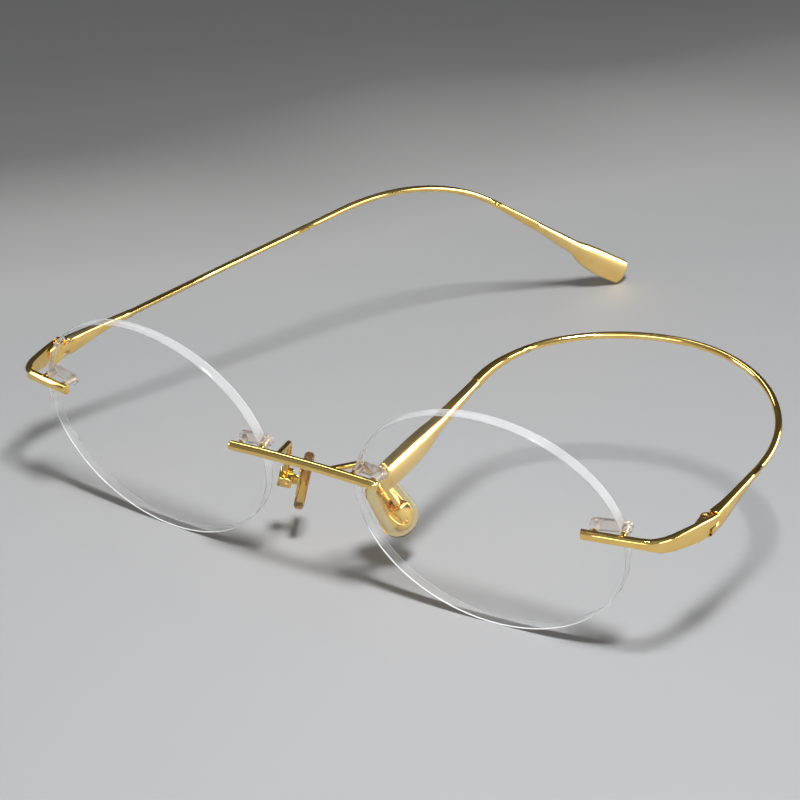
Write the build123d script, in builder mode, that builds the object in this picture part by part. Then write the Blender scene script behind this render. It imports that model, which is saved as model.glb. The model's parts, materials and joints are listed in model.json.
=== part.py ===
from build123d import *
import math
import os

# Rimless eyeglasses, in millimetres.
# Left and right are as seen from the front. Every piece is first built in the front frame: X to the right,
# Y back towards the ears, Z up in the lens plane, with the origin in the middle of the bridge. The pieces of
# the right side are the pattern, and the left side is their mirror image. At the end the object is tilted to
# stand on both lens bottoms and on the tip of the left temple.

# Lenses: thin clear ovals with spherical faces
LENS_WIDTH = 50.0
LENS_HEIGHT = 42.8
LENS_CENTRE_X = 34.28
LENS_WRAP = 3.6
FRONT_RADIUS = 130.0
BACK_RADIUS = 114.5
CENTRE_THICKNESS = 1.5
LENS_BEVEL = 0.15

# Lens mounts: a hole and an edge notch, gripped by a clear two-barrel bushing
MOUNT_HEIGHT = 3.9
NASAL_HOLE = -20.3
NASAL_NOTCH = -24.45
TEMPORAL_HOLE = 19.5
TEMPORAL_NOTCH = 24.4
PIN_RADIUS = 0.45
PIN_REACH = {"nasal": 3.2, "temporal": 2.7}
SLEEVE_RADIUS = 0.73
HOLE_RADIUS = 0.75
FIT = 0.02
BUSHING_OVERHANG = 1.15
BUSHING_HEIGHT = 2.2
BUSHING_THICKNESS = 0.7
BUSHING_GAP = 0.06

# Bridge rod
ROD_RADIUS = 0.87
ROD_END = (15.13, -0.7, 3.87)
ROD_MIDDLE = (0.0, -0.95, 4.5)
ROD_ROUNDING = 0.6

# Pad arms, boxes and pads
ARM_RADIUS = 0.55
ARM_ROUTE = ((5.2, -0.5, 4.3), (7.5, 6.2, 1.8), (9.8, 8.0, -3.2), (11.83, 8.96, -8.07))
ARM_BENDS = (1.8, 3.0)
PAD_CENTRE = (9.1, 10.5, -9.8)
PAD_NORMAL = (-0.861, 0.412, -0.3)
PAD_LENGTHWISE = (-0.38, -0.13, 0.915)
PAD_LENGTH = 13.0
PAD_WIDTH = 7.4
PAD_TOP_WIDTH = 6.2
PAD_THICKNESS = 1.9
PAD_ROUNDING = 0.76
CORE_INSET = 1.5
CORE_THICKNESS = 0.5
PIVOT_HEIGHT = -0.4
PIVOT_SETBACK = 3.0
BOX_SIZE = 2.6
BOX_DEPTH = 2.5
SLOT_WIDTH = 1.0
TAB_THICKNESS = 0.86
TAB_RADIUS = 0.95
PAD_SCREW_RADIUS = 0.4
PAD_HEAD_RADIUS = 0.65
PAD_HEAD_HEIGHT = 0.4
RUNNING_FIT = 0.05

# End piece: the bar's centre, heading, depth and height at each station from its tip to the hinge
END_PIECE_STATIONS = (
    ((52.4, 1.48, 3.90), 14.0, 1.35, 1.75),
    ((58.5, 2.90, 3.44), 14.0, 1.35, 1.80),
    ((62.0, 3.82, 3.14), 16.0, 1.35, 1.88),
    ((63.3, 4.35, 2.87), 30.0, 1.35, 2.15),
    ((64.3, 5.30, 2.45), 50.0, 1.35, 2.60),
    ((65.0, 6.40, 2.08), 62.0, 1.3, 2.88),
    ((65.6, 7.80, 1.68), 70.0, 1.25, 3.14),
    ((66.45, 11.0, 0.78), 75.5, 1.15, 3.60),
    ((67.25, 14.2, -0.05), 76.0, 1.0, 3.85),
    ((67.8, 16.9, -0.62), 79.0, 0.95, 3.65),
    ((68.12, 18.8, -0.85), 84.0, 0.95, 3.50),
)
EDGE_BEVEL = 0.34
CORNER_ROUNDING = 0.3

# Hinge: an upright axis with three knuckles. The end piece's upper half runs past it with a round end, over a
# notch, and the temple's root fits round that end
HINGE = (66.85, 16.9, -0.5)
KNUCKLE_RADIUS = 0.95
KNUCKLE_TOP = 1.55
TONGUE_TOP = 0.6
TONGUE_BOTTOM = -0.75
KNUCKLE_BOTTOM = -1.7
KNUCKLE_GAP = 0.06
RELIEF = 0.08
HINGE_SCREW_RADIUS = 0.4
HINGE_HEAD_RADIUS = 0.68
HINGE_HEAD_DEPTH = 0.4
SLOT_DEPTH = 0.2
FORK_FOOT = (1.0, 3.4)
FORK_FOOT_OFFSET = -0.3
TONGUE_FOOT = (0.95, 3.0)
TONGUE_FOOT_OFFSET = -0.2
SEAM_HEIGHT = -0.15
SEAM_GAP = 0.15
COVER_END = 0.8
COVER_RADIUS = 0.9
LOWER_END = -1.3
NOTCH_END = -0.75
NOTCH_BOTTOM = -1.4

# Temples: place along the temple, width across, height, and height of the centre above the hinge's middle
ROOT_OUTSIDE = 1.42
ROOT_STATIONS = (
    (-1.15, 0.95, 3.75, 0.10),
    (0.1, 0.95, 3.65, -0.12),
    (2.0, 2.05, 3.45, -0.36),
    (5.0, 1.6, 3.00, -0.28),
    (9.0, 1.4, 2.15, -0.02),
    (13.0, 1.32, 1.50, 0.10),
    (16.0, 1.3, 1.30, 0.10),
)
WIRE_DIAMETER = 1.3
WIRE_OVERLAP = 1.0
# Temple tips: distance from the end, width across, height, drop of the centre below the wire's line, rounding
TIP_STATIONS = (
    (44.0, 1.34, 1.34, 0.0, 0.62),
    (30.0, 1.8, 1.9, 0.0, 0.6),
    (17.0, 2.5, 2.9, 0.15, 0.5),
    (12.0, 3.1, 4.8, 0.5, 0.45),
    (8.0, 3.2, 5.5, 0.5, 0.4),
    (0.0, 3.0, 5.4, 0.1, 0.4),
)
TIP_STEP = 2.0
TIP_CUT = 24.0

# The left temple: a straight run, one downward bend and a straight end
LEFT_FOLD = 23.2
LEFT_STRAIGHT = 64.7
LEFT_BEND_RADIUS = 50.6
LEFT_BEND = 46.3
LEFT_END = 43.4
LEFT_SLOPE = 1.4

# The right temple: curled inwards in three bends
RIGHT_SPLAY = 2.5
RIGHT_STRAIGHT = 17.6
RIGHT_ARCS = ((25.5, 99.2), (35.4, 33.4), (22.0, 49.0))
RIGHT_END = 32.4
RIGHT_RISE = 2.1

STAND_TILT = 10.3
TILT_STEPS = 4
THROUGH = 8.0
SIDES = ("right", "left")
UP = Vector(0, 0, 1)
os.makedirs("parts", exist_ok=True)

# Planes that the pieces are built on, all for the right side
wrap = math.radians(LENS_WRAP)
LENS_PLANE = Plane(
    origin=(LENS_CENTRE_X, 0, 0),
    x_dir=(math.cos(wrap), math.sin(wrap), 0),
    z_dir=(math.sin(wrap), -math.cos(wrap), 0),
)


def back_point(across):
    """The point of the lens's back face at a distance across from its centre, at the mounts' height."""
    depth = CENTRE_THICKNESS + (across**2 + MOUNT_HEIGHT**2) / (2 * BACK_RADIUS)
    return LENS_PLANE.from_local_coords(Vector(across, MOUNT_HEIGHT, -depth))


def mount_plane(hole, notch):
    """A plane on the back of the lens, from the hole to the notch, facing forwards."""
    low, high = sorted((hole, notch))
    start = back_point(low)
    end = back_point(high)
    along = (end - start).normalized()
    return Plane(origin=(start + end) * 0.5, x_dir=along, z_dir=along.cross(UP))


MOUNTS = {
    "nasal": (mount_plane(NASAL_HOLE, NASAL_NOTCH), abs(NASAL_HOLE - NASAL_NOTCH)),
    "temporal": (mount_plane(TEMPORAL_HOLE, TEMPORAL_NOTCH), abs(TEMPORAL_HOLE - TEMPORAL_NOTCH)),
}
PAD_ACROSS = Vector(*PAD_LENGTHWISE).cross(Vector(*PAD_NORMAL)).normalized()
PAD_PLANE = Plane(origin=PAD_CENTRE, x_dir=PAD_ACROSS, z_dir=PAD_NORMAL)
PIVOT_PLANE = Plane(
    origin=PAD_PLANE.from_local_coords(Vector(0, PIVOT_HEIGHT, -PIVOT_SETBACK)),
    x_dir=PAD_PLANE.z_dir,
    z_dir=-PAD_ACROSS,
)
HINGE_PLANE = Plane(origin=HINGE)
CORE_PLANE = PAD_PLANE.offset(-PAD_THICKNESS / 2)
HINGE_TO_SEAM_ARC = SEAM_HEIGHT + COVER_RADIUS

# Bridge rod: one gently bowed round rod
with BuildPart() as bridge_rod:
    with BuildLine() as rod_line:
        ThreePointArc((-ROD_END[0], ROD_END[1], ROD_END[2]), ROD_MIDDLE, ROD_END)
    with BuildSketch(Plane(origin=rod_line.line @ 0, z_dir=rod_line.line % 0)):
        Circle(ROD_RADIUS)
    sweep()
    fillet(bridge_rod.faces().filter_by(GeomType.PLANE).edges(), ROD_ROUNDING)

# End piece: a flat-faced bar with a bevelled upper edge, lofted through its stations and cut for the hinge
with BuildPart() as end_piece:
    for place, heading, depth, height in END_PIECE_STATIONS:
        turn = math.radians(heading)
        ahead = Vector(math.cos(turn), math.sin(turn), 0)
        with BuildSketch(Plane(origin=place, x_dir=ahead.cross(UP), z_dir=ahead)) as section:
            Rectangle(depth, height)
            chamfer(section.vertices(), EDGE_BEVEL)
    loft(ruled=True)
    with BuildSketch(Plane.YZ.offset(HINGE[0])):
        with Locations((HINGE[1] + LOWER_END, HINGE[2])):
            Rectangle(THROUGH, THROUGH, align=(Align.MIN, Align.CENTER))
        with Locations((HINGE[1] + COVER_END, HINGE[2] + SEAM_HEIGHT)):
            Rectangle(THROUGH, THROUGH, align=(Align.MAX, Align.MIN), mode=Mode.SUBTRACT)
        with Locations((HINGE[1] + COVER_END, HINGE[2] + HINGE_TO_SEAM_ARC)):
            Circle(COVER_RADIUS, mode=Mode.SUBTRACT)
    extrude(amount=THROUGH, both=True, mode=Mode.SUBTRACT)
    with Locations(HINGE):
        Cylinder(KNUCKLE_RADIUS + RELIEF, THROUGH, mode=Mode.SUBTRACT)

# Lens: an oval disc between two spheres, with its two mounts drilled and notched
with BuildPart() as lens:
    with BuildSketch(LENS_PLANE.offset(THROUGH)):
        Ellipse(LENS_WIDTH / 2, LENS_HEIGHT / 2)
    extrude(amount=-2 * THROUGH)
    with Locations(LENS_PLANE.offset(-FRONT_RADIUS)):
        Sphere(FRONT_RADIUS, mode=Mode.INTERSECT)
    with Locations(LENS_PLANE.offset(-CENTRE_THICKNESS - BACK_RADIUS)):
        Sphere(BACK_RADIUS, mode=Mode.SUBTRACT)
    chamfer(lens.edges(), LENS_BEVEL)
    for plane, spacing in MOUNTS.values():
        with Locations(plane):
            with GridLocations(spacing, 1, 2, 1):
                Cylinder(HOLE_RADIUS, THROUGH, mode=Mode.SUBTRACT)

# Pins: two prongs through each mount, brazed to the bridge rod or to the end piece
CARRIERS = {"nasal": bridge_rod, "temporal": end_piece}
pins = {}
for mount, (plane, spacing) in MOUNTS.items():
    with BuildPart() as prongs:
        with BuildSketch(plane.offset(-BUSHING_THICKNESS - BUSHING_GAP)):
            with GridLocations(spacing, 1, 2, 1):
                Circle(PIN_RADIUS)
        extrude(amount=BUSHING_THICKNESS + BUSHING_GAP + PIN_REACH[mount])
        add(CARRIERS[mount].part, mode=Mode.SUBTRACT)
    pins[mount] = prongs

# Bushings: a clear bar behind the lens with a sleeve round each prong
bushings = {}
for mount, (plane, spacing) in MOUNTS.items():
    with BuildPart() as bushing:
        with BuildSketch(plane.offset(-BUSHING_GAP)):
            SlotOverall(spacing + 2 * BUSHING_OVERHANG, BUSHING_HEIGHT)
        extrude(amount=-BUSHING_THICKNESS)
        with BuildSketch(plane.offset(-BUSHING_GAP)):
            with GridLocations(spacing, 1, 2, 1):
                Circle(SLEEVE_RADIUS)
        extrude(amount=CENTRE_THICKNESS)
        with Locations(plane):
            with GridLocations(spacing, 1, 2, 1):
                Cylinder(PIN_RADIUS + FIT, THROUGH, mode=Mode.SUBTRACT)
    bushings[mount] = bushing

# Pad box: a small clevis that holds the pad's tab
with BuildPart() as pad_box:
    with BuildSketch(PIVOT_PLANE.offset(-BOX_SIZE / 2)):
        with Locations((TAB_RADIUS, 0)):
            RectangleRounded(BOX_DEPTH, BOX_SIZE, CORNER_ROUNDING, align=(Align.MAX, Align.CENTER))
    extrude(amount=BOX_SIZE)
    with BuildSketch(PIVOT_PLANE.offset(-SLOT_WIDTH / 2)):
        with Locations((-TAB_RADIUS - 2 * RUNNING_FIT, 0)):
            Rectangle(THROUGH, THROUGH, align=(Align.MIN, Align.CENTER))
    extrude(amount=SLOT_WIDTH, mode=Mode.SUBTRACT)
    with Locations(PIVOT_PLANE):
        Cylinder(PAD_SCREW_RADIUS + FIT, THROUGH, mode=Mode.SUBTRACT)

# Pad arm: a round wire from the back of the rod, over and down to the pad box
with BuildPart() as pad_arm:
    with BuildLine() as arm_line:
        FilletPolyline(*ARM_ROUTE, radius=ARM_BENDS)
    with BuildSketch(Plane(origin=arm_line.line @ 0, z_dir=arm_line.line % 0)):
        Circle(ARM_RADIUS)
    sweep()
    add(bridge_rod.part, mode=Mode.SUBTRACT)
    add(pad_box.part, mode=Mode.SUBTRACT)

# Pad screw: a pin through the box with a slotted head at its front end
with BuildPart() as pad_screw:
    with BuildSketch(PIVOT_PLANE.offset(-BOX_SIZE / 2)):
        Circle(PAD_SCREW_RADIUS)
    extrude(amount=BOX_SIZE)
    with BuildSketch(PIVOT_PLANE.offset(BOX_SIZE / 2)):
        Circle(PAD_HEAD_RADIUS)
    extrude(amount=PAD_HEAD_HEIGHT)
    with BuildSketch(PIVOT_PLANE.offset(BOX_SIZE / 2 + PAD_HEAD_HEIGHT - SLOT_DEPTH)):
        Rectangle(THROUGH, SLOT_DEPTH)
    extrude(amount=SLOT_DEPTH, mode=Mode.SUBTRACT)


def teardrop(plane, inset):
    """A pad outline on a plane, rounder below and narrower above, drawn a little inside the full one."""
    with BuildSketch(plane) as outline:
        with Locations((0, PAD_WIDTH / 2 - PAD_LENGTH / 2)):
            Circle(PAD_WIDTH / 2 - inset)
        with Locations((0, PAD_LENGTH / 2 - PAD_TOP_WIDTH / 2)):
            Circle(PAD_TOP_WIDTH / 2 - inset)
        make_hull()
    return outline.sketch


PAD_OUTLINE = teardrop(CORE_PLANE, 0)
CORE_OUTLINE = teardrop(CORE_PLANE, CORE_INSET)

# Pad core: a gold plate set in the back of the pad, with the tab that the screw holds
with BuildPart() as pad_core:
    extrude(CORE_OUTLINE, amount=CORE_THICKNESS)
    with BuildSketch(PIVOT_PLANE.offset(-TAB_THICKNESS / 2)):
        Circle(TAB_RADIUS)
        Rectangle(PIVOT_SETBACK - PAD_THICKNESS / 2, TAB_RADIUS * 2, align=(Align.MIN, Align.CENTER))
    extrude(amount=TAB_THICKNESS)
    with Locations(PIVOT_PLANE):
        Cylinder(PAD_SCREW_RADIUS + RUNNING_FIT, THROUGH, mode=Mode.SUBTRACT)

# Nose pad: a soft clear teardrop, rounded all round, with a pocket for its core
with BuildPart() as nose_pad:
    extrude(PAD_OUTLINE, amount=PAD_THICKNESS)
    fillet(nose_pad.edges(), PAD_ROUNDING)
    extrude(CORE_OUTLINE, amount=CORE_THICKNESS, mode=Mode.SUBTRACT)

# Hinge fork: two knuckles and the foot that is brazed inside the end piece
with BuildPart() as hinge_fork:
    with BuildSketch(HINGE_PLANE.offset(KNUCKLE_BOTTOM)):
        Circle(KNUCKLE_RADIUS)
        with Locations((FORK_FOOT_OFFSET, 0)):
            Rectangle(*FORK_FOOT, align=(Align.CENTER, Align.MAX))
    extrude(amount=KNUCKLE_TOP - KNUCKLE_BOTTOM)
    with BuildSketch(HINGE_PLANE.offset(TONGUE_BOTTOM - KNUCKLE_GAP)):
        Circle(KNUCKLE_RADIUS + RELIEF)
        Rectangle(THROUGH, THROUGH, align=(Align.CENTER, Align.MIN))
    extrude(amount=TONGUE_TOP - TONGUE_BOTTOM + 2 * KNUCKLE_GAP, mode=Mode.SUBTRACT)
    with Locations(HINGE_PLANE.offset(KNUCKLE_TOP)):
        CounterBoreHole(HINGE_SCREW_RADIUS + FIT, HINGE_HEAD_RADIUS + FIT, HINGE_HEAD_DEPTH)
    add(end_piece.part, mode=Mode.SUBTRACT)

# Hinge screw: slotted head sunk in the top knuckle
with BuildPart() as hinge_screw:
    with BuildSketch(HINGE_PLANE.offset(KNUCKLE_BOTTOM)):
        Circle(HINGE_SCREW_RADIUS)
    extrude(amount=KNUCKLE_TOP - KNUCKLE_BOTTOM)
    with BuildSketch(HINGE_PLANE.offset(KNUCKLE_TOP - HINGE_HEAD_DEPTH)):
        Circle(HINGE_HEAD_RADIUS)
    extrude(amount=HINGE_HEAD_DEPTH)
    with BuildSketch(HINGE_PLANE.offset(KNUCKLE_TOP - SLOT_DEPTH)):
        Rectangle(THROUGH, SLOT_DEPTH)
    extrude(amount=SLOT_DEPTH, mode=Mode.SUBTRACT)


def tip_section(from_end):
    """A tip's width, height, drop and rounding at a distance from its end, eased between the stations."""
    for (start, *before), (end, *after) in zip(TIP_STATIONS, TIP_STATIONS[1:]):
        if end <= from_end <= start:
            part = (start - from_end) / (start - end)
            eased = part * part * (3 - 2 * part)
            return [old + (new - old) * eased for old, new in zip(before, after)]


# Temples, each in its own frame: the hinge axis is the origin, +Y runs back along the temple and +X is its
# outer side. The root is a flat plate, the wire is round, and the tip is a paddle cut off at a slant.
def temple(path):
    """A temple whose wire follows the path, as one solid."""
    with BuildPart() as root:
        for place, depth, height, rise in ROOT_STATIONS:
            centre = (ROOT_OUTSIDE - depth / 2, place, rise)
            with BuildSketch(Plane(origin=centre, x_dir=(1, 0, 0), z_dir=(0, 1, 0))) as section:
                Rectangle(depth, height)
                chamfer(section.vertices(), EDGE_BEVEL)
        loft(ruled=True)
        with BuildSketch(Plane.YZ):
            with Locations((COVER_END, HINGE_TO_SEAM_ARC)):
                Circle(COVER_RADIUS + SEAM_GAP)
            with Locations((COVER_END, SEAM_HEIGHT - SEAM_GAP)):
                Rectangle(THROUGH, THROUGH, align=(Align.MAX, Align.MIN))
            with Locations((NOTCH_END, NOTCH_BOTTOM)):
                Rectangle(THROUGH, THROUGH / 4, align=(Align.MAX, Align.MIN))
        extrude(amount=THROUGH, mode=Mode.SUBTRACT)
        Cylinder(KNUCKLE_RADIUS + RELIEF, THROUGH, mode=Mode.SUBTRACT)
    tip_start = path.length - TIP_STATIONS[0][0]
    with BuildPart() as wire:
        with BuildSketch(Plane(origin=path @ 0, z_dir=path % 0)):
            Circle(WIRE_DIAMETER / 2)
        sweep(path=path.trim(0, (tip_start + WIRE_OVERLAP) / path.length))
    with BuildPart() as tip:
        for step in range(round(TIP_STATIONS[0][0] / TIP_STEP) + 1):
            from_end = TIP_STATIONS[0][0] - step * TIP_STEP
            depth, height, drop, rounding = tip_section(from_end)
            where = path.position_at(path.length - from_end, position_mode=PositionMode.LENGTH)
            ahead = path.tangent_at(path.length - from_end, position_mode=PositionMode.LENGTH)
            across = ahead.cross(UP).normalized()
            down = ahead.cross(across).normalized()
            with BuildSketch(Plane(origin=where + down * drop, x_dir=across, z_dir=ahead)):
                RectangleRounded(depth, height, rounding)
        loft(ruled=True)
        top = where - down * height / 2
        slant = ahead.rotate(Axis((0, 0, 0), across), TIP_CUT)
        split(bisect_by=Plane(origin=top, z_dir=slant), keep=Keep.BOTTOM)
    with BuildPart() as whole:
        add(root.part)
        add(wire.part)
        add(tip.part)
    return whole


WIRE_START = Vector(
    ROOT_OUTSIDE - WIRE_DIAMETER / 2, ROOT_STATIONS[-1][0] - WIRE_OVERLAP, ROOT_STATIONS[-1][3]
)
slope = math.radians(LEFT_SLOPE)
LEFT_PLANE = Plane(WIRE_START, x_dir=(0, math.cos(slope), math.sin(slope)), z_dir=(1, 0, 0))
rise = math.radians(RIGHT_RISE)
RIGHT_PLANE = Plane(
    WIRE_START, x_dir=(-math.cos(rise), 0, math.sin(rise)), z_dir=(-math.sin(rise), 0, -math.cos(rise))
)
with BuildLine(LEFT_PLANE) as left_line:
    Line((0, 0), (LEFT_STRAIGHT - WIRE_START.Y, 0))
    JernArc(left_line.edges()[-1] @ 1, left_line.edges()[-1] % 1, LEFT_BEND_RADIUS, -LEFT_BEND)
    last = left_line.edges()[-1]
    Line(last @ 1, last @ 1 + (last % 1) * LEFT_END)
with BuildLine(RIGHT_PLANE) as right_line:
    Line((0, 0), (0, RIGHT_STRAIGHT - WIRE_START.Y))
    for radius, angle in RIGHT_ARCS:
        last = right_line.edges()[-1]
        JernArc(last @ 1, last % 1, radius, -angle)
    last = right_line.edges()[-1]
    Line(last @ 1, last @ 1 + (last % 1) * RIGHT_END)
temples = {"left": temple(left_line.wires()[0]), "right": temple(right_line.wires()[0])}

# Hinge tongue: the knuckle between the fork's two, with its foot brazed inside the temple's root
with BuildPart() as tongue_blank:
    with BuildSketch(Plane.XY.offset(TONGUE_BOTTOM)):
        Circle(KNUCKLE_RADIUS)
        with Locations((TONGUE_FOOT_OFFSET, 0)):
            Rectangle(*TONGUE_FOOT, align=(Align.CENTER, Align.MIN))
    extrude(amount=TONGUE_TOP - TONGUE_BOTTOM)
    Cylinder(HINGE_SCREW_RADIUS + RUNNING_FIT, THROUGH, mode=Mode.SUBTRACT)
tongues = {}
for side in SIDES:
    with BuildPart() as tongue:
        add(tongue_blank.part)
        add(temples[side].part, mode=Mode.SUBTRACT)
    tongues[side] = tongue

# Every piece in the front frame, under its own name
FOLD = {"right": -RIGHT_SPLAY, "left": LEFT_FOLD}
placed = {"bridge_rod": bridge_rod.part}
for side in SIDES:
    pattern = {
        "lens": lens.part,
        "end_piece": end_piece.part,
        "nasal_pins": pins["nasal"].part,
        "temporal_pins": pins["temporal"].part,
        "nasal_bushing": bushings["nasal"].part,
        "temporal_bushing": bushings["temporal"].part,
        "pad_arm": pad_arm.part,
        "pad_box": pad_box.part,
        "pad_screw": pad_screw.part,
        "pad_core": pad_core.part,
        "nose_pad": nose_pad.part,
        "hinge_fork": hinge_fork.part,
        "hinge_screw": hinge_screw.part,
    }
    for name, moving in (("temple", temples), ("hinge_tongue", tongues)):
        pattern[name] = moving[side].part.moved(Location(HINGE, (0, 0, FOLD[side])))
    for name, piece in pattern.items():
        placed[f"{side}_{name}"] = piece if side == "right" else piece.mirror(Plane.YZ)

# Stand the object up: tilt it until the lens bottoms and the left tip are level, then set its origin at the
# middle of its footprint, on the surface it stands on
tilt = STAND_TILT
for _ in range(TILT_STEPS):
    leaning = Location((0, 0, 0), (tilt, 0, 0))
    lens_box = placed["left_lens"].moved(leaning).bounding_box()
    tip_box = placed["left_temple"].moved(leaning).bounding_box()
    tilt += math.degrees((lens_box.min.Z - tip_box.min.Z) / tip_box.max.Y)
leaning = Location((0, 0, 0), (tilt, 0, 0))
whole_box = Compound(children=[piece.moved(leaning) for piece in placed.values()]).bounding_box()
standing = Location((-whole_box.center().X, -whole_box.center().Y, -whole_box.min.Z)) * leaning
print("tilt", tilt, "shift", standing.position)

for name, piece in placed.items():
    with BuildPart() as node:
        with Locations(standing):
            add(piece)
    node.part.label = name
    export_step(node.part, f"parts/{name}.step")
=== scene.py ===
import json
import math

import bmesh
import bpy
import numpy as np
from mathutils import Matrix, Vector


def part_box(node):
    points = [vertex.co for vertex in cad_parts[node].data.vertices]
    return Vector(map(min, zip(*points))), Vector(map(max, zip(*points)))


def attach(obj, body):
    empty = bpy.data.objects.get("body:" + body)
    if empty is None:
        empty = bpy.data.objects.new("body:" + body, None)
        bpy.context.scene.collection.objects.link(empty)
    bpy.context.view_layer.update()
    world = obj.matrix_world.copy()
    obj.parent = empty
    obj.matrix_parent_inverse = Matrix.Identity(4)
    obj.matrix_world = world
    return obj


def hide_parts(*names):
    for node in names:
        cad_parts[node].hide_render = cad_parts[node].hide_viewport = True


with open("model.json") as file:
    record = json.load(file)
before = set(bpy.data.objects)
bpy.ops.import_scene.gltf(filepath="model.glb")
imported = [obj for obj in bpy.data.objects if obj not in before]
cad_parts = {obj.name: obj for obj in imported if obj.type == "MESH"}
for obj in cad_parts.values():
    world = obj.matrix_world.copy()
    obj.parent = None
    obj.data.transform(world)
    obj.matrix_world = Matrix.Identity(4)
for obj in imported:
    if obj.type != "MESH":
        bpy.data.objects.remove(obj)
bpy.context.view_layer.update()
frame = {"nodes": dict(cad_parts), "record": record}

SIDES = ("right", "left")
MM = 0.001

# A node's points closer than this become one
WELD = 0.004 * MM

# Angles in degrees: what is flat enough to merge, and the creases that stay
# sharp when a piece is shaded smooth
FLAT_ANGLE = 0.3
LENS_CREASE = 30.0
GOLD_CREASE = 40.0
TIP_CREASE = 50.0

# Lenses: how squarely a triangle faces forwards to count as a lens face, the
# radius of the white lines of painted glint along its corners, the heights between which the
# edge's painted sheen and the glints change, and the number of points that an outline has more than
FACE_LIMIT = 0.85
FRONT_GLINT_RADIUS = 0.13 * MM
BACK_GLINT_RADIUS = 0.08 * MM
EDGE_LOW = 10 * MM
EDGE_HIGH = 28 * MM
LEAST_RING = 8

# Temple tips: how the CAD shape is measured, and how much is rebuilt
TIP_VOXEL = 0.14 * MM
TIP_AXIS_LENGTH = 11 * MM
TIP_LENGTH = 31 * MM
TIP_REACH = 4 * MM
TIP_SIDES = 48
TIP_OVERLAP = 0.5 * MM
TIP_BAND = 0.5 * MM
TIP_MARGIN = 1.2

# Temple tips: the crown of the faces, the squareness of the edges, and the
# rounding of the end, which keeps a small flat
CROWN = 0.45
SQUARENESS = 0.9
END_ROUNDING = 1.1 * MM
END_FLAT = 0.3

# Temple tips: where the satin starts to fade, and the roughness left by the wire
SATIN_TO = 20 * MM
POLISHED_SHARE = 0.4

# Nose pads: the voxels of the pillow, the easing of the core, and how squarely
# a face of the core looks at the pad box to be its plate
PAD_VOXEL = 0.16 * MM
CORE_EASE = 0.05 * MM
PLATE_LIMIT = 0.98

# Nose pads: the relief on the core, in mm. Each has its place up the plate, its
# half length, half width and bar radius
RIM = (-0.1, 3.9, 1.75, 0.16)
CURL = (-1.5, 1.15, 0.95, 0.15)
EYE = (-3.1, 0.42, 0.4, 0.13)
CURL_FROM = -150
CURL_TO = 100

# Fittings and screws: eased edges, and the driver slot
BAR_EASE = 0.05 * MM
KNUCKLE_EASE = 0.06 * MM
SCREW_EASE = 0.1 * MM
SLOT_LENGTH = 4 * MM
SLOT_WIDTH = 0.24 * MM
SLOT_DEPTH = 0.25 * MM

# Floor: the turn of its painted shade, darker on the far side, from straight behind, in degrees, and
# how far away the painted shade starts and is complete, in metres
SHADE_SLANT = 19.0
SHADE_NEAR = -0.12
SHADE_FAR = 0.28
FLOOR_WIDTH = 4

# Room: the way that its bright side lies, and its strength
ROOM_FRONT = Vector((0.35, -0.85, 0.4)).normalized()
ROOM_STRENGTH = 0.31

# Camera: where it looks, from which way and how far in metres and degrees, its
# slight roll, and its focal length in mm
AIM = Vector((-0.00964, -0.02746, 0.015))
AZIMUTH = 32.54
ELEVATION = 25.99
DISTANCE = 0.4861
ROLL = -0.95
LENS = 117.8


def node_material(name, base, roughness, metallic=0.0):
    """A new principled material: its nodes, its links and its shader."""
    material = bpy.data.materials.new(name)
    material.use_nodes = True
    nodes = material.node_tree.nodes
    links = material.node_tree.links
    shader = nodes["Principled BSDF"]
    shader.inputs["Base Color"].default_value = (*base, 1)
    shader.inputs["Roughness"].default_value = roughness
    shader.inputs["Metallic"].default_value = metallic
    return material, nodes, links, shader


def noise(nodes, links, scale, detail=4.0, stretch=(1, 1, 1)):
    """Noise in the piece's own space, scale in features per metre."""
    place = nodes.new("ShaderNodeTexCoord")
    mapping = nodes.new("ShaderNodeMapping")
    mapping.inputs["Scale"].default_value = stretch
    texture = nodes.new("ShaderNodeTexNoise")
    texture.inputs["Scale"].default_value = scale
    texture.inputs["Detail"].default_value = detail
    links.new(place.outputs["Object"], mapping.inputs["Vector"])
    links.new(mapping.outputs["Vector"], texture.inputs["Vector"])
    return texture.outputs["Fac"]


def ramp(nodes, links, value, stops):
    """A colour ramp through (position, colour) stops."""
    blend = nodes.new("ShaderNodeValToRGB")
    elements = blend.color_ramp.elements
    while len(elements) < len(stops):
        elements.new(0.5)
    for element, (position, colour) in zip(elements, stops):
        element.position = position
        element.color = (*colour, 1)
    links.new(value, blend.inputs["Fac"])
    return blend.outputs["Color"]


def bump(nodes, links, shader, height, strength, distance):
    """Surface relief from a height."""
    relief = nodes.new("ShaderNodeBump")
    relief.inputs["Strength"].default_value = strength
    relief.inputs["Distance"].default_value = distance
    links.new(height, relief.inputs["Height"])
    links.new(relief.outputs["Normal"], shader.inputs["Normal"])


def grey(value):
    """A colour, or a value in a ramp, without hue."""
    return (value, value, value)


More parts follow.
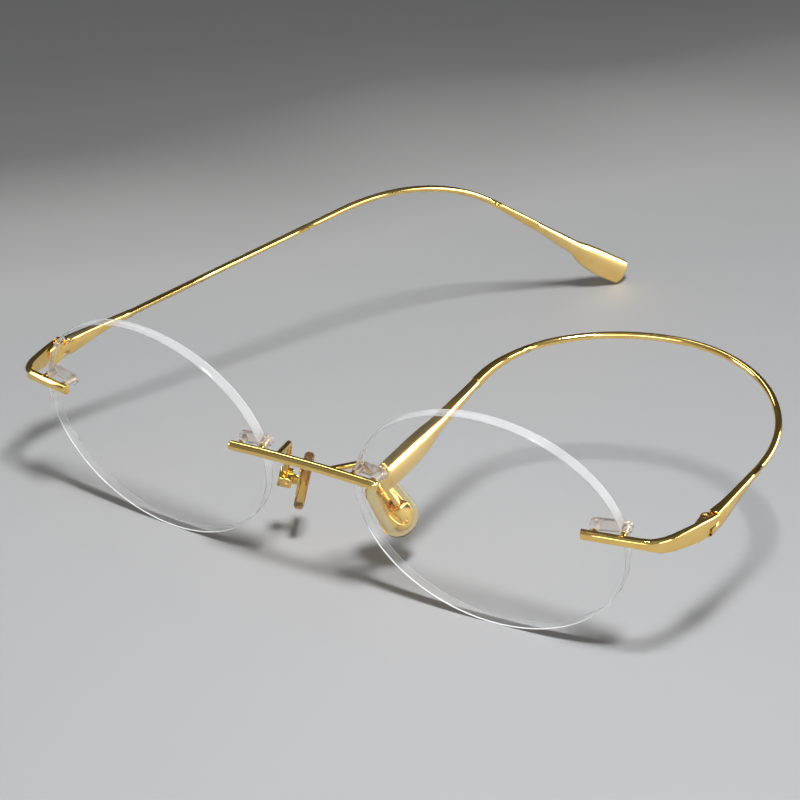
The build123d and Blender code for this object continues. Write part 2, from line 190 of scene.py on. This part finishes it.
def gold(name, light, deep, smooth, rough, grain, end=None):
    """Gold plating with a slightly uneven colour and polish, and a fine grain.

    With an end, the satin fades away from it, towards the wire.
    """
    material, nodes, links, shader = node_material(name, light, smooth, metallic=1.0)
    cloud = noise(nodes, links, 260, detail=2)
    links.new(ramp(nodes, links, cloud, [(0.3, deep), (0.62, light)]), shader.inputs["Base Color"])
    wear = noise(nodes, links, 420, detail=2)
    finish = ramp(nodes, links, wear, [(0.3, grey(smooth)), (0.75, grey(rough))])
    if end is not None:
        place = nodes.new("ShaderNodeTexCoord")
        away = nodes.new("ShaderNodeVectorMath")
        away.operation = "DISTANCE"
        away.inputs[1].default_value = end
        links.new(place.outputs["Object"], away.inputs[0])
        fade = nodes.new("ShaderNodeMapRange")
        fade.inputs["From Min"].default_value = SATIN_TO
        fade.inputs["From Max"].default_value = TIP_LENGTH - TIP_BAND
        fade.inputs["To Min"].default_value = 1
        fade.inputs["To Max"].default_value = POLISHED_SHARE
        links.new(away.outputs["Value"], fade.inputs["Value"])
        product = nodes.new("ShaderNodeMath")
        product.operation = "MULTIPLY"
        links.new(finish, product.inputs[0])
        links.new(fade.outputs["Result"], product.inputs[1])
        finish = product.outputs["Value"]
    links.new(finish, shader.inputs["Roughness"])
    bump(nodes, links, shader, noise(nodes, links, 5200, detail=1), grain, 0.00001)
    return material


polished = gold("polished_gold", (0.95, 0.67, 0.23), (0.90, 0.59, 0.16), 0.07, 0.12, 0.06)


def clear(name, tint, alpha, roughness, grain):
    """A clear plastic that is seen mostly by its gloss."""
    material, nodes, links, shader = node_material(name, tint, roughness)
    shader.inputs["IOR"].default_value = 1.5
    shader.inputs["Alpha"].default_value = alpha
    smear = noise(nodes, links, 140, detail=3)
    finish = ramp(nodes, links, smear, [(0.3, grey(roughness)), (0.8, grey(roughness + 0.08))])
    links.new(finish, shader.inputs["Roughness"])
    bump(nodes, links, shader, noise(nodes, links, 700, detail=2), grain, 0.00001)
    return material


lens_face = clear("lens_face", (0.93, 0.96, 0.98), 0.03, 0.02, 0.02)
lens_edge = clear("lens_edge", (0.93, 0.95, 0.96), 0.3, 0.08, 0.2)
# Painted highlights: white, opaque tubes along the lens corners stand for the glints of the polished bevels
front_rim_glint = clear("front_rim_glint", (1.0, 1.0, 1.0), 1.0, 0.12, 0.1)
back_rim_glint = clear("back_rim_glint", (1.0, 1.0, 1.0), 1.0, 0.12, 0.1)


def painted_sheen_by_height(material, low, high):
    """A ground edge, or a glint line on it, whose alpha, and so its painted sheen, goes from low to high
    with its height.

    Refraction keeps light off the floor behind a real edge, so to a lamp's
    shadow ray this one is opaque.
    """
    nodes = material.node_tree.nodes
    links = material.node_tree.links
    place = nodes.new("ShaderNodeTexCoord")
    split = nodes.new("ShaderNodeSeparateXYZ")
    links.new(place.outputs["Object"], split.inputs["Vector"])
    height = nodes.new("ShaderNodeMapRange")
    height.interpolation_type = "SMOOTHSTEP"
    height.inputs["From Min"].default_value = EDGE_LOW
    height.inputs["From Max"].default_value = EDGE_HIGH
    height.inputs["To Min"].default_value = low
    height.inputs["To Max"].default_value = high
    links.new(split.outputs["Z"], height.inputs["Value"])
    ray = nodes.new("ShaderNodeLightPath")
    most = nodes.new("ShaderNodeMath")
    most.operation = "MAXIMUM"
    links.new(height.outputs["Result"], most.inputs[0])
    links.new(ray.outputs["Is Shadow Ray"], most.inputs[1])
    links.new(most.outputs["Value"], nodes["Principled BSDF"].inputs["Alpha"])


# Painted sheen: the frosted edge is drawn whiter higher up, and the white glint lines are painted strongest
# at the bottom of the front corner and the top of the back corner
painted_sheen_by_height(lens_edge, 0.12, 0.36)
painted_sheen_by_height(front_rim_glint, 1.0, 0.35)
painted_sheen_by_height(back_rim_glint, 0.3, 0.75)


def moulded(name, tint, roughness, transmission, ior):
    """A clear moulded plastic or silicone with a slight cloudiness."""
    material, nodes, links, shader = node_material(name, tint, roughness)
    shader.inputs["Transmission Weight"].default_value = transmission
    shader.inputs["IOR"].default_value = ior
    cloud = noise(nodes, links, 500, detail=3)
    finish = ramp(nodes, links, cloud, [(0.3, grey(roughness)), (0.75, grey(roughness + 0.12))])
    links.new(finish, shader.inputs["Roughness"])
    bump(nodes, links, shader, noise(nodes, links, 1500, detail=2), 0.1, 0.00002)
    return material


def amber(material, density, colour):
    """Yellows a clear plastic by its depth."""
    nodes = material.node_tree.nodes
    body = nodes.new("ShaderNodeVolumeAbsorption")
    body.inputs["Density"].default_value = density
    body.inputs["Color"].default_value = (*colour, 1)
    material.node_tree.links.new(body.outputs["Volume"], nodes["Material Output"].inputs["Volume"])


bushing_clear = moulded("bushing_clear", (1.0, 0.95, 0.92), 0.08, 0.8, 1.42)
pad_silicone = moulded("pad_silicone", (0.98, 0.88, 0.56), 0.04, 0.95, 1.38)
amber(pad_silicone, 150, (0.95, 0.70, 0.0))


def fresh(node, name):
    """A new object with a CAD node's shape, welded, and no material."""
    mesh = bpy.data.meshes.new(name)
    shape = bmesh.new()
    shape.from_mesh(frame["nodes"][node].data)
    bmesh.ops.remove_doubles(shape, verts=shape.verts, dist=WELD)
    shape.to_mesh(mesh)
    shape.free()
    mesh.materials.clear()
    piece = bpy.data.objects.new(name, mesh)
    bpy.context.collection.objects.link(piece)
    return piece


def bake(piece):
    """Applies a piece's modifiers."""
    graph = bpy.context.evaluated_depsgraph_get()
    made = bpy.data.meshes.new_from_object(piece.evaluated_get(graph))
    piece.modifiers.clear()
    piece.data = made


def modified(piece, kind, **settings):
    """The piece after one modifier."""
    modifier = piece.modifiers.new("shape", kind)
    for key, value in settings.items():
        setattr(modifier, key, value)
    bake(piece)
    return piece


def smoothed(piece, angle):
    """The piece shaded smooth up to creases of this angle."""
    piece.data.shade_smooth()
    piece.data.set_sharp_from_angle(angle=math.radians(angle))
    return piece


def bevelled(piece, width, segments=2, angle=35.0):
    """The piece with its sharp edges eased."""
    return modified(
        piece, "BEVEL", width=width, segments=segments, limit_method="ANGLE",
        angle_limit=math.radians(angle), use_clamp_overlap=True,
    )


def merged(piece):
    """Flat runs of small triangles become single faces."""
    shape = bmesh.new()
    shape.from_mesh(piece.data)
    bmesh.ops.dissolve_limit(
        shape, angle_limit=math.radians(FLAT_ANGLE), verts=shape.verts, edges=shape.edges
    )
    shape.to_mesh(piece.data)
    shape.free()
    return piece


def facing_out(piece):
    """Turns every face of a piece outwards."""
    shape = bmesh.new()
    shape.from_mesh(piece.data)
    bmesh.ops.recalc_face_normals(shape, faces=shape.faces)
    shape.to_mesh(piece.data)
    shape.free()


def body_of(node):
    """The moving body that a CAD node is part of."""
    for body, nodes in frame["record"]["behaviour"]["bodies"].items():
        if node in nodes:
            return body


def stand_for(piece, node):
    """The piece takes a CAD node's place, on its body."""
    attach(piece, body_of(node))
    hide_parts(node)


def own_axes(points):
    """The centre and the long, middle and short directions of a set of points."""
    centre = points.mean(0)
    values, vectors = np.linalg.eigh(np.cov((points - centre).T))
    return centre, vectors[:, ::-1].T


def coordinates(piece):
    """The places of a piece's vertices, one per row."""
    points = np.empty(len(piece.data.vertices) * 3)
    piece.data.vertices.foreach_get("co", points)
    return points.reshape(-1, 3)


def set_coordinates(piece, points):
    """Moves a piece's vertices to these places."""
    piece.data.vertices.foreach_set("co", points.ravel())
    piece.data.update()


def tube(name, points, radius, closed):
    """A round bar along points."""
    line = bpy.data.curves.new(name, "CURVE")
    line.dimensions = "3D"
    line.bevel_depth = radius
    line.bevel_resolution = 2
    line.use_fill_caps = True
    run = line.splines.new("POLY")
    run.points.add(len(points) - 1)
    for spot, point in zip(run.points, points):
        spot.co = (*point, 1)
    run.use_cyclic_u = closed
    bar = bpy.data.objects.new(name, line)
    bpy.context.collection.objects.link(bar)
    mesh = bpy.data.meshes.new_from_object(bar.evaluated_get(bpy.context.evaluated_depsgraph_get()))
    bpy.data.objects.remove(bar)
    return mesh


def add_meshes(piece, meshes, slot_index):
    """Joins loose meshes to a piece, in one of its material slots."""
    shape = bmesh.new()
    shape.from_mesh(piece.data)
    for mesh in meshes:
        before = len(shape.faces)
        shape.from_mesh(mesh)
        shape.faces.ensure_lookup_table()
        for face in shape.faces[before:]:
            face.material_index = slot_index
            face.smooth = True
    shape.to_mesh(piece.data)
    shape.free()


def loops(edges):
    """The closed rings of vertices that a set of edges makes."""
    after = {}
    for edge in edges:
        first, second = edge.verts
        after.setdefault(first, []).append(second)
        after.setdefault(second, []).append(first)
    rings = []
    while after:
        start = next(iter(after))
        ring = [start]
        while after.get(ring[-1]):
            here = ring[-1]
            onward = after[here].pop()
            after[onward].remove(here)
            if not after[here]:
                del after[here]
            if onward is start:
                break
            ring.append(onward)
        for vertex in ring:
            if vertex in after and not after[vertex]:
                del after[vertex]
        rings.append([vertex.co.copy() for vertex in ring])
    return [ring for ring in rings if len(ring) > LEAST_RING]


# Lenses: clear faces and a ground edge, with a thin white tube of painted glint along both of its corners
def lens(side):
    node = f"{side}_lens"
    piece = fresh(node, f"{side}_lens_glass")
    axis = max(piece.data.polygons, key=lambda face: face.area).normal.copy()
    shape = bmesh.new()
    shape.from_mesh(piece.data)
    for face in shape.faces:
        face.material_index = 0 if abs(face.normal.dot(axis)) > FACE_LIMIT else 1
    corners = [edge for edge in shape.edges if len({face.material_index for face in edge.link_faces}) == 2]
    rings = loops(corners)
    shape.to_mesh(piece.data)
    shape.free()
    smoothed(piece, LENS_CREASE)
    for material in (lens_face, lens_edge, front_rim_glint, back_rim_glint):
        piece.data.materials.append(material)
    outlines = sorted(rings, key=len)[-2:]
    front, back = sorted(outlines, key=lambda ring: sum(point.y for point in ring) / len(ring))
    add_meshes(piece, [tube("bevel", front, FRONT_GLINT_RADIUS, True)], 2)
    add_meshes(piece, [tube("bevel", back, BACK_GLINT_RADIUS, True)], 3)
    stand_for(piece, node)


# Gold fittings: crisp shapes with eased edges
def fitting(node, ease):
    piece = bevelled(merged(fresh(node, f"{node}_gilt")), ease)
    smoothed(piece, GOLD_CREASE)
    piece.data.materials.append(polished)
    stand_for(piece, node)
    return piece


# Temples: a polished wire, and a satin paddle with crowned faces and a rounded end
def without_tip(piece, place, direction, end):
    """A temple that stops at a plane near its end, and is closed there."""
    shape = bmesh.new()
    shape.from_mesh(piece.data)
    parts = list(shape.verts) + list(shape.edges) + list(shape.faces)
    bmesh.ops.bisect_plane(shape, geom=parts, plane_co=place, plane_no=direction, dist=0.0001 * MM)

    def in_tip(face):
        middle = face.calc_center_median()
        return (middle - place).dot(direction) > 0 and (middle - end).length < TIP_MARGIN * TIP_LENGTH

    bmesh.ops.delete(shape, geom=[face for face in shape.faces if in_tip(face)], context="FACES")
    bmesh.ops.holes_fill(shape, edges=[edge for edge in shape.edges if edge.is_boundary])
    shape.to_mesh(piece.data)
    shape.free()
    return piece


def tip_sections(local, reach):
    """The middle and half size of the tip, across and through, every TIP_BAND from its end."""
    depth = reach - local[:, 0]
    bands = np.arange(0, TIP_LENGTH + TIP_BAND, TIP_BAND)
    found = []
    beside = np.abs(local[:, 1:]).max(1) < TIP_REACH
    for band in bands:
        ring = local[(np.abs(depth - band) < TIP_MARGIN * TIP_BAND) & beside]
        low, high = ring[:, 1:].min(0), ring[:, 1:].max(0)
        found.append(np.concatenate([(low + high) / 2, (high - low) / 2]))
    padded = [found[0]] * 2 + found + [found[-1]] * 2
    return bands, np.array([np.mean(padded[index:index + 5], axis=0) for index in range(len(found))])


def tip_mesh(name, bands, sections, reach):
    """A smooth skin through the tip's sections, from its rounded end to the wire."""
    turn = np.radians(np.linspace(0, 360, TIP_SIDES, endpoint=False))
    rounded = END_ROUNDING * (1 - np.cos(np.radians(np.linspace(0, 90, 9))))
    depths = np.concatenate([rounded, np.arange(END_ROUNDING + TIP_BAND, TIP_LENGTH, TIP_BAND)])
    points = []
    for depth in depths:
        middle_a, middle_t, half_a, half_t = (np.interp(depth, bands, column) for column in sections.T)
        flare = np.clip(half_a / half_t - 1, 0, 1)
        power = 2 / (2 + SQUARENESS * flare)
        a = np.sign(np.cos(turn)) * np.abs(np.cos(turn)) ** power
        t = np.sign(np.sin(turn)) * np.abs(np.sin(turn)) ** power
        t = t * np.sqrt(1 - flare * CROWN * a ** 2)
        left = np.clip(1 - depth / END_ROUNDING, 0, 1)
        shrink = END_FLAT + (1 - END_FLAT) * math.sqrt(1 - left ** 2)
        inset_a = half_a - half_t * (1 - shrink)
        points.append(np.column_stack([
            np.full(TIP_SIDES, reach - depth), middle_a + a * inset_a, middle_t + t * half_t * shrink,
        ]))
    rings = len(points)
    faces = [tuple(range(TIP_SIDES)), tuple(reversed(range((rings - 1) * TIP_SIDES, rings * TIP_SIDES)))]
    for ring in range(rings - 1):
        for side in range(TIP_SIDES):
            here = ring * TIP_SIDES + side
            beside = ring * TIP_SIDES + (side + 1) % TIP_SIDES
            faces.append((here, here + TIP_SIDES, beside + TIP_SIDES, beside))
    mesh = bpy.data.meshes.new(name)
    mesh.from_pydata(np.concatenate(points).tolist(), [], faces)
    return mesh


def temple(side):
    node = f"{side}_temple"
    dense = modified(fresh(node, "measured"), "REMESH", mode="VOXEL", voxel_size=TIP_VOXEL)
    points = coordinates(dense)
    bpy.data.objects.remove(dense)
    end = points[points[:, 0].argmin()] if side == "right" else points[points[:, 1].argmax()]
    near = points[np.linalg.norm(points - end, axis=1) < TIP_AXIS_LENGTH]
    centre, axes = own_axes(near)
    if np.dot(end - centre, axes[0]) < 0:
        axes[0] = -axes[0]
    if np.linalg.det(axes) < 0:
        axes[2] = -axes[2]
    reach = ((near - centre) @ axes[0]).max()
    start = Vector(centre + axes[0] * (reach - TIP_LENGTH + TIP_OVERLAP))
    bands, sections = tip_sections((points - centre) @ axes.T, reach)
    tip = bpy.data.objects.new(f"{side}_temple_tip", tip_mesh(f"{side}_temple_tip", bands, sections, reach))
    bpy.context.collection.objects.link(tip)
    set_coordinates(tip, centre + coordinates(tip) @ axes)
    facing_out(tip)
    smoothed(tip, TIP_CREASE)
    tip.data.materials.append(
        gold(f"satin_gold_{side}", (0.98, 0.70, 0.28), (0.93, 0.63, 0.21), 0.23, 0.27, 0.08, end=Vector(end))
    )
    wire = without_tip(fresh(node, f"{side}_temple_wire"), start, Vector(axes[0]), Vector(end))
    smoothed(wire, GOLD_CREASE)
    wire.data.materials.append(polished)
    for piece in (wire, tip):
        stand_for(piece, node)


# Screws: an eased head with a driver slot
def screw(node):
    piece = merged(fresh(node, f"{node}_slotted"))
    centre, (along, across, through) = own_axes(coordinates(piece))
    if node.endswith("hinge_screw") and along[2] < 0 or node.endswith("pad_screw") and along[1] > 0:
        along = -along
    top = ((coordinates(piece) - centre) @ along).max()
    bevelled(piece, SCREW_EASE)
    cutter = bpy.data.meshes.new("cutter")
    shape = bmesh.new()
    bmesh.ops.create_cube(shape, size=1)
    turn = Matrix((across * SLOT_LENGTH, through * SLOT_WIDTH, along * SLOT_DEPTH * 2)).transposed().to_4x4()
    turn.translation = Vector(centre + along * top)
    shape.transform(turn)
    bmesh.ops.recalc_face_normals(shape, faces=shape.faces)
    shape.to_mesh(cutter)
    shape.free()
    tool = bpy.data.objects.new("cutter", cutter)
    bpy.context.collection.objects.link(tool)
    modified(piece, "BOOLEAN", object=tool, operation="DIFFERENCE", solver="EXACT")
    bpy.data.objects.remove(tool)
    smoothed(piece, GOLD_CREASE)
    piece.data.materials.append(polished)
    stand_for(piece, node)


# Nose pads: a clear silicone pillow over a gilt core with a raised, curled relief
def pad(side):
    node = f"{side}_nose_pad"
    pillow = modified(
        fresh(node, f"{side}_pad_silicone"), "REMESH",
        mode="VOXEL", voxel_size=PAD_VOXEL, use_smooth_shade=True,
    )
    modified(pillow, "SMOOTH", factor=0.5, iterations=4)
    pillow.data.shade_smooth()
    pillow.data.materials.append(pad_silicone)
    stand_for(pillow, node)

    core = fitting(f"{side}_pad_core", CORE_EASE)
    centre, (upward, across, outward) = own_axes(coordinates(pillow))
    low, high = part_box(f"{side}_pad_box")
    if np.dot(np.array((low + high) / 2) - centre, outward) < 0:
        outward = -outward
    if upward[2] < 0:
        upward = -upward
    faces = frame["nodes"][f"{side}_pad_core"].data.polygons
    plate = [face for face in faces if face.normal.dot(outward) > PLATE_LIMIT]
    biggest = max(plate, key=lambda face: face.area)
    level = np.dot(np.array(biggest.center) - centre, outward)

    def spot(up, side_step):
        return Vector(centre + upward * up * MM + across * side_step * MM + outward * level)

    def oval(name, size, start=0, stop=360, steps=48):
        up, long, wide, radius = size
        whole = stop - start == 360
        angles = np.radians(np.linspace(start, stop, steps, endpoint=not whole))
        line = [spot(up + long * math.cos(angle), wide * math.sin(angle)) for angle in angles]
        return tube(name, line, radius * MM, whole)

    relief = [
        oval("rim", RIM),
        oval("curl", CURL, CURL_FROM, CURL_TO, steps=28),
        oval("eye", EYE, steps=20),
    ]
    add_meshes(core, relief, 0)


for side in SIDES:
    lens(side)
    temple(side)
    pad(side)
    fitting(f"{side}_end_piece", BAR_EASE)
    for name in ("hinge_fork", "hinge_tongue", "pad_box"):
        fitting(f"{side}_{name}", KNUCKLE_EASE)
    for name in ("hinge_screw", "pad_screw"):
        screw(f"{side}_{name}")

# The CAD nodes that stay: the rod, the arms, the prongs and the sleeves
FINISH = {"gold": polished, "bushing_clear": bushing_clear}
for part in frame["record"]["subparts"]:
    material = FINISH.get(part["material_slot"])
    if material:
        for holder in frame["nodes"][part["node"]].material_slots:
            holder.material = material


# Floor: a grey sweep, paler towards the viewer, with painted shade darker on its far side
def floor():
    bpy.ops.mesh.primitive_grid_add(x_subdivisions=40, y_subdivisions=40, size=FLOOR_WIDTH)
    sweep = bpy.context.object
    sweep.name = "floor"
    material, nodes, links, shader = node_material("floor_paper", (0.5, 0.5, 0.5), 0.6)
    place = nodes.new("ShaderNodeTexCoord")
    along = nodes.new("ShaderNodeMapping")
    along.inputs["Rotation"].default_value = (0, 0, -math.radians(AZIMUTH + SHADE_SLANT))
    split = nodes.new("ShaderNodeSeparateXYZ")
    links.new(place.outputs["Object"], along.inputs["Vector"])
    links.new(along.outputs["Vector"], split.inputs["Vector"])
    reach = nodes.new("ShaderNodeMapRange")
    reach.inputs["From Min"].default_value = SHADE_NEAR
    reach.inputs["From Max"].default_value = SHADE_FAR
    drift = nodes.new("ShaderNodeMath")
    drift.operation = "MULTIPLY_ADD"
    drift.inputs[1].default_value = 0.07
    links.new(noise(nodes, links, 9, detail=1), drift.inputs[0])
    links.new(split.outputs["Y"], drift.inputs[2])
    links.new(drift.outputs["Value"], reach.inputs["Value"])
    # Painted shade: the colour darkens towards the far side in soft noisy blotches, after a slightly lighter
    # band
    tone = ramp(nodes, links, reach.outputs["Result"], [
        (0.09, (0.452, 0.458, 0.472)),
        (0.30, (0.488, 0.493, 0.504)),
        (0.54, (0.522, 0.526, 0.532)),
        (0.66, (0.560, 0.562, 0.558)),
        (0.73, (0.500, 0.502, 0.495)),
        (0.79, (0.400, 0.402, 0.395)),
        (0.87, (0.260, 0.264, 0.258)),
        (1.00, (0.225, 0.229, 0.224)),
    ])
    links.new(tone, shader.inputs["Base Color"])
    bump(nodes, links, shader, noise(nodes, links, 900, detail=3), 0.05, 0.0001)
    sweep.data.materials.append(material)


floor()

# What the lamps face
OBJECT = Vector((0, 0, 0.02))


def panel(name, place, width, depth, watts, lights_floor=False):
    """A flat lamp that faces the glasses, and lights the floor only if asked."""
    light = bpy.data.lights.new(name, "AREA")
    light.shape = "RECTANGLE"
    light.size = width
    light.size_y = depth
    light.energy = watts
    lamp = bpy.data.objects.new(name, light)
    lamp.location = place
    lamp.rotation_euler = (OBJECT - Vector(place)).to_track_quat("-Z", "Y").to_euler()
    lamp.visible_diffuse = lights_floor
    bpy.context.collection.objects.link(lamp)


# Lights: a soft key from the front right, and panels that only the gold mirrors
panel("key", (0.162, -0.194, 0.4434), 0.08, 0.08, 2.4, lights_floor=True)
panel("front", (0.15, -0.75, 0.32), 0.6, 0.2, 2.0)
panel("right", (0.85, -0.05, 0.3), 0.45, 0.4, 3.2)
panel("right_back", (0.66, 0.6, 0.22), 0.75, 0.42, 5.5)
panel("left_strip", (-0.36, 0.12, 0.56), 0.07, 0.5, 0.8)
panel("left", (-0.7, -0.35, 0.3), 0.3, 0.3, 1.5)


# Room: dark behind and above, bright in front
def room():
    world = bpy.data.worlds.new("studio")
    bpy.context.scene.world = world
    world.use_nodes = True
    nodes = world.node_tree.nodes
    links = world.node_tree.links
    sky = nodes["Background"]
    place = nodes.new("ShaderNodeTexCoord")
    facing = nodes.new("ShaderNodeVectorMath")
    facing.operation = "DOT_PRODUCT"
    facing.inputs[1].default_value = ROOM_FRONT
    links.new(place.outputs["Generated"], facing.inputs[0])
    reach = nodes.new("ShaderNodeMapRange")
    reach.inputs["From Min"].default_value = -1
    links.new(facing.outputs["Value"], reach.inputs["Value"])
    tone = ramp(nodes, links, reach.outputs["Result"], [
        (0.0, (0.14, 0.14, 0.14)),
        (0.3, (0.22, 0.22, 0.22)),
        (0.5, (0.36, 0.36, 0.37)),
        (0.65, (0.55, 0.56, 0.57)),
        (0.8, (0.85, 0.86, 0.88)),
        (1.0, (1.0, 1.0, 1.0)),
    ])
    links.new(tone, sky.inputs["Color"])
    sky.inputs["Strength"].default_value = ROOM_STRENGTH


room()

# Camera
azimuth = math.radians(AZIMUTH)
elevation = math.radians(ELEVATION)
back = Vector((
    math.sin(azimuth) * math.cos(elevation),
    -math.cos(azimuth) * math.cos(elevation),
    math.sin(elevation),
))
camera = bpy.data.objects.new("camera", bpy.data.cameras.new("camera"))
bpy.context.collection.objects.link(camera)
camera.location = AIM + back * DISTANCE
turn = (-back).to_track_quat("-Z", "Y").to_matrix().to_4x4()
camera.rotation_euler = (turn @ Matrix.Rotation(math.radians(ROLL), 4, "Z")).to_euler()
camera.data.lens = LENS
camera.data.sensor_width = 36
camera.data.clip_start = 0.01
bpy.context.scene.camera = camera
bpy.context.scene.view_settings.view_transform = "Standard"
